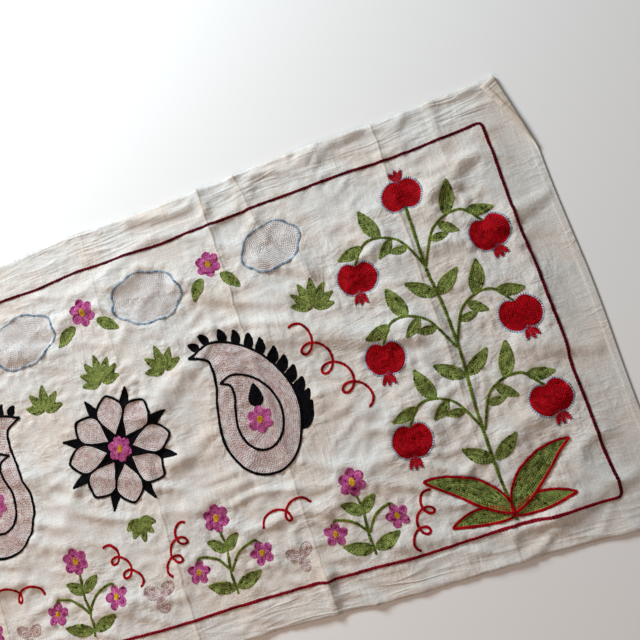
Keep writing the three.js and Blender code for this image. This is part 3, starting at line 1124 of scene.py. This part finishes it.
def lay_cloth(mesh):
    pick, upper = (taken(mesh, "row"), taken(mesh, "column")), taken(mesh, "upper")
    spots = np.where(upper[:, None] == 1, top[pick], bottom[pick]) * MM
    mesh.vertices.foreach_set("co", spots.ravel())
    corner = np.zeros(len(mesh.loops), int)
    mesh.loops.foreach_get("vertex_index", corner)
    flat = plan[pick][corner]
    map_corners(mesh, "cut", np.stack([flat.real, flat.imag], -1) * MM)
    sheet_v = (flat.imag / WIDTH + 0.5) * BAKE_HALF + (1 - BAKE_HALF) * (1 - upper[corner])
    map_corners(mesh, "OFBake", np.stack([flat.real / LENGTH + 0.5, sheet_v], -1))
    mesh.uv_layers.active = mesh.uv_layers["cut"]
    note(mesh, "pucker", edge[pick])
    note(mesh, "wrong_side", 1.0 - upper)
    bm = bmesh.new()
    bm.from_mesh(mesh)
    bmesh.ops.recalc_face_normals(bm, faces=bm.faces[:])
    bm.to_mesh(mesh)
    bm.free()
    return finish_piece("suzani_ground", mesh, handwoven)


ground = lay_cloth(sheet_mesh)
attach(ground, "root")
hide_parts("suzani_cloth")
print(f"suzani_ground: {len(ground.data.polygons)} faces")

# %% [markdown]
# One chain stitch is a loop of thread: two strands that part and close again. Each kind of stitch is
# modelled once, as a profile that is extruded along and scaled at a few sections. It has a dozen faces or
# so, because there are tens of thousands of them.

# %% One stitch
Section = namedtuple("Section", "along wide high")
LINK_SECTIONS = (
    Section(-0.13, 0.7, 0.6),
    Section(0.28, 0.96, 0.95),
    Section(0.78, 1.0, 1.0),
    Section(1.13, 0.72, 0.7),
)
LINK_PROFILE = ((-1, 0), (-0.58, 1), (0, 0.42), (0.58, 1), (1, 0))
TICK_SECTIONS = (Section(-0.02, 0.5, 0.1), Section(0.5, 1.0, 1.0), Section(1.02, 0.5, 0.1))
TICK_PROFILE = ((-1, 0), (-0.45, 1), (0.45, 1), (1, 0))


def model_stitch(sections, profile):
    """A stitch one unit long, half a unit to each side and one unit high, as points and faces."""
    bm = bmesh.new()
    first = sections[0]
    section = [bm.verts.new((first.along, w * first.wide / 2, h * first.high)) for w, h in profile]
    edges = [bm.edges.new(pair) for pair in zip(section, section[1:])]
    for before, after in zip(sections, sections[1:]):
        made = bmesh.ops.extrude_edge_only(bm, edges=edges)["geom"]
        edges = [x for x in made if isinstance(x, bmesh.types.BMEdge)]
        wider, higher = after.wide / before.wide, after.high / before.high
        for vert in (x for x in made if isinstance(x, bmesh.types.BMVert)):
            vert.co = after.along, vert.co.y * wider, vert.co.z * higher
    bmesh.ops.recalc_face_normals(bm, faces=bm.faces[:])
    bm.verts.index_update()
    points = np.array([v.co[:] for v in bm.verts])
    faces = [[v.index for v in f.verts] for f in bm.faces]
    upward = sum(f.normal.z for f in bm.faces) > 0
    bm.free()
    return points, faces if upward else [f[::-1] for f in faces]


LINK, BAR = model_stitch(LINK_SECTIONS, LINK_PROFILE), model_stitch(TICK_SECTIONS, TICK_PROFILE)
print(f"a chain stitch has {len(LINK[1])} faces, a straight one {len(BAR[1])}")

# %% [markdown]
# All the stitches of one thread become one mesh. Their points are worked out together in arrays, which
# takes a moment where an object for each would take minutes. Each stitch follows the cloth's face and
# stands along the way that the cloth faces, with its foot sunk a little, so that no light shows under it.

# %% Stitches on the cloth
FOOT, THINNEST, THICKEST = 0.2, 0.92, 1.08


def on_cloth(grid, place):
    """A grid's values at places on the flat cloth, between its points."""
    c = (place.real + LENGTH / 2) / (even_u[1] - even_u[0])
    r = (place.imag + WIDTH / 2) / (even_v[1] - even_v[0])
    i, j = np.floor(c).astype(int), np.floor(r).astype(int)
    s, t = (c - i)[:, None], (r - j)[:, None]
    near = grid[j, i] * (1 - s) + grid[j, i + 1] * s
    far = grid[j + 1, i] * (1 - s) + grid[j + 1, i + 1] * s
    return near * (1 - t) + far * t


def stitch_spots(stitches, points):
    """Where every point of every stitch lies, in millimetres."""
    count = len(stitches)
    start = np.array([[s.start] for s in stitches])
    step = np.array([[s.step] for s in stitches])
    width = np.array([[s.gauge.width] for s in stitches])
    width = width * dice.uniform(THINNEST, THICKEST, (count, 1))
    height = np.array([[s.gauge.height + FOOT] for s in stitches])
    height = height * dice.uniform(THINNEST, THICKEST, (count, 1))
    over = np.array([[s.gauge.over - FOOT] for s in stitches])
    along, aside, up = points.T
    places = (start + step * (along + 1j * aside * width / np.abs(step))).ravel()
    lift = (over + up * height).ravel()
    return on_cloth(top, places) + on_cloth(facing, places) * lift[:, None]


print(f"a stitch's foot is {FOOT} mm deep in the cloth")

# %% [markdown]
# The points of all the copies share the faces of one model. Attributes keep each stitch's shade and the
# height of each point on it, and a UV map runs along the strand. For baking, each stitch has a cell of
# its own in a second map.

# %% Many stitches in one mesh
CELL_RIM, OVERREACH = 0.15, 0.12


def copies(name, spots, faces, count):
    """One mesh of so many stitches, each with its own points and the same faces."""
    corners = (np.arange(count)[:, None] * (len(spots) // count) + np.concatenate(faces)).ravel()
    sides = np.tile([len(f) for f in faces], count)
    mesh = bpy.data.meshes.new(name)
    mesh.vertices.add(len(spots))
    mesh.vertices.foreach_set("co", (spots * MM).ravel())
    mesh.loops.add(len(corners))
    mesh.loops.foreach_set("vertex_index", corners)
    mesh.polygons.add(len(sides))
    mesh.polygons.foreach_set("loop_start", np.append(0, np.cumsum(sides))[:-1])
    mesh.update(calc_edges=True)
    return mesh


def sewn_mesh(name, stitches, model):
    points, faces = model
    count = len(stitches)
    mesh = copies(name, stitch_spots(stitches, points), faces, count)
    note(mesh, "shade", np.repeat([s.shade for s in stitches], len(points)))
    note(mesh, "crest", np.tile(points[:, 2], count))
    flat = points[np.concatenate(faces)][:, :2] + (0, 0.5)
    map_corners(mesh, "strand", np.tile(flat, (count, 1)))
    cells = int(np.ceil(np.sqrt(count)))
    cell = np.stack([np.arange(count) % cells, np.arange(count) // cells], -1)
    inside = CELL_RIM + (1 - 2 * CELL_RIM) * (flat + (OVERREACH, 0)) / (1 + 2 * OVERREACH, 1)
    map_corners(mesh, "OFBake", (cell[:, None] + inside[None]) / cells)
    mesh.uv_layers.active = mesh.uv_layers["strand"]
    return mesh


print(f"a stitch takes {1 - 2 * CELL_RIM:.0%} of its cell")

# %% [markdown]
# Thread is cotton floss with a low sheen. Its colour runs between a dark and a light shade of one dye,
# and fine slanting ridges show the twist. The hole in a loop and the furrows beside it get painted shade,
# a darker tone in the colour. The hole could be modelled, but at this size a dark oval of painted shade
# in the colour reads the same.

# %% Floss
FLOSS_SHEEN, FLOSS_ROUGHNESS, CREST_GLOSS = 0.04, 0.7, 0.12
PAINTED_HOLE_AT, PAINTED_HOLE_ALONG, PAINTED_HOLE_ACROSS = 0.42, 9.0, 12.0
TWIST_ALONG, TWIST_ACROSS, TWIST_STRENGTH, TWIST_HEIGHT = 22.0, 26.0, 0.4, 0.00015


def floss(name, thread):
    material, shader, wire = new_material(name + "_floss", FLOSS_SHEEN)
    crest = attribute(wire, "crest")
    _, along, across = map_axes(wire, "strand")
    dye = attribute(wire, "shade").mixed(linear(thread.dark), linear(thread.light))
    # Painted shade: the dye is darkened in an oval at the hole of each loop and towards its low feet and
    # sides.
    off, aside = along - PAINTED_HOLE_AT, across - 0.5
    painted_hole = off * off * PAINTED_HOLE_ALONG + aside * aside * PAINTED_HOLE_ACROSS
    depth = painted_hole.spread(0.0, 1.0, thread.furrow) * crest.spread(0.0, 1.0, thread.furrow)
    multiply = {"data_type": "RGBA", "blend_type": "MULTIPLY"}
    dye_in_painted_shade = wire.node("ShaderNodeMix", multiply, output=2, _0=1.0, _6=dye, _7=depth)
    twist = wire.math("SINE", along * TWIST_ALONG + across * TWIST_ACROSS)
    bump = wire.node("ShaderNodeBump", Strength=TWIST_STRENGTH, Distance=TWIST_HEIGHT, Height=twist)
    feed(shader, Base_Color=dye_in_painted_shade, Normal=bump, Roughness=FLOSS_ROUGHNESS - CREST_GLOSS * crest)
    return material


print(f"floss of {len(THREADS)} colours")

# %% [markdown]
# Each thread has one mesh of chain stitches and, where it is used for a fringe, one of straight ones.
# They move with the cloth, so they ride on the same body.

# %% All the stitches
embroidery = []
for thread, look in THREADS.items():
    material = floss(thread, look)
    if chains[thread]:
        mesh = sewn_mesh(f"{thread}_chain", chains[thread], LINK)
        embroidery.append(finish_piece(f"{thread}_chain_stitch", mesh, material))
    if ticks[thread]:
        mesh = sewn_mesh(f"{thread}_ticks", ticks[thread], BAR)
        embroidery.append(finish_piece(f"{thread}_straight_stitch", mesh, material))
total = 0
for piece in embroidery:
    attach(piece, "root")
    triangles = sum(len(p.vertices) - 2 for p in piece.data.polygons)
    total += triangles
    print(f"{piece.name}: {triangles} triangles")
print(f"embroidery: {total} triangles")

# %% [markdown]
# The floor is a plain pale surface, just below the cloth. Soft light from a large cool lamp beyond the
# upper edge models the folds, because it comes in low, a weaker warm one fills from the lower left, and
# the pale surroundings lift the shadows. The Standard view keeps the thread's colours as they were given.

# %% Floor and light
FLOOR_HALF, FLOOR_DROP = 6.0, 0.0003
FLOOR_TONE, FLOOR_ROUGHNESS, FLOOR_SHEEN = 0.93, 0.9, 0.5
Lamp = namedtuple("Lamp", "name place target size power colour")
LAMPS = (
    Lamp("window", (-0.5, 1.4, 0.77), (0.1, 0.0, 0.0), 0.65, 36.0, (0.86, 0.95, 1.0)),
    Lamp("warm_fill", (-0.95, -0.75, 1.2), (0.0, -0.05, 0.0), 0.6, 8.0, (1.0, 0.62, 0.42)),
)
ROOM_COLOUR, ROOM_LIGHT = (1.0, 0.94, 0.88, 1), 0.17


def floor():
    bm = bmesh.new()
    below = Matrix.Translation((0, 0, -FLOOR_DROP))
    bmesh.ops.create_grid(bm, x_segments=1, y_segments=1, size=FLOOR_HALF, matrix=below)
    mesh = bpy.data.meshes.new("pale_floor")
    bm.to_mesh(mesh)
    bm.free()
    material, shader, _ = new_material("pale_floor", FLOOR_SHEEN)
    shader.inputs["Base Color"].default_value = (FLOOR_TONE, FLOOR_TONE, FLOOR_TONE, 1)
    shader.inputs["Roughness"].default_value = FLOOR_ROUGHNESS
    piece = finish_piece("pale_floor", mesh, material)


def hang(lamp):
    light = bpy.data.lights.new(lamp.name, "AREA")
    light.shape, light.size, light.energy, light.color = "DISK", lamp.size, lamp.power, lamp.colour
    piece = bpy.data.objects.new(lamp.name, light)
    piece.location = lamp.place
    aim = Vector(lamp.target) - Vector(lamp.place)
    piece.rotation_euler = aim.to_track_quat("-Z", "Y").to_euler()
    bpy.context.scene.collection.objects.link(piece)


floor()
for lamp in LAMPS:
    hang(lamp)
world = bpy.data.worlds.new("pale_room")
world.use_nodes = True
world.node_tree.nodes["Background"].inputs["Color"].default_value = ROOM_COLOUR
world.node_tree.nodes["Background"].inputs["Strength"].default_value = ROOM_LIGHT
bpy.context.scene.world = world
bpy.context.scene.view_settings.view_transform = "Standard"
print(f"{len(LAMPS)} lamps")

# %% [markdown]
# The camera looks down on the cloth's far half, a little off the vertical and turned, so that the cloth
# runs up to the right across the picture. A place, a target and an upward way are enough to work out its
# three axes.

# %% Camera
CAMERA_AT = Vector((0.3373, -0.0214, 0.6446))
CAMERA_TO = Vector((0.2603, 0.0561, 0.0))
CAMERA_UP = Vector((0.3238, 0.9432, 0.0748))
LENS, SENSOR, NEAREST = 33.75, 36.0, 0.01


def camera():
    back = (CAMERA_AT - CAMERA_TO).normalized()
    right = CAMERA_UP.cross(back).normalized()
    up = back.cross(right)
    lens = bpy.data.cameras.new("camera")
    lens.lens, lens.sensor_width = LENS, SENSOR
    lens.clip_start = NEAREST
    piece = bpy.data.objects.new("camera", lens)
    piece.matrix_world = Matrix.Translation(CAMERA_AT) @ Matrix((right, up, back)).transposed().to_4x4()
    bpy.context.scene.collection.objects.link(piece)
    bpy.context.scene.camera = piece


camera()
print(f"the camera is {CAMERA_AT.z:.2f} m above the floor")
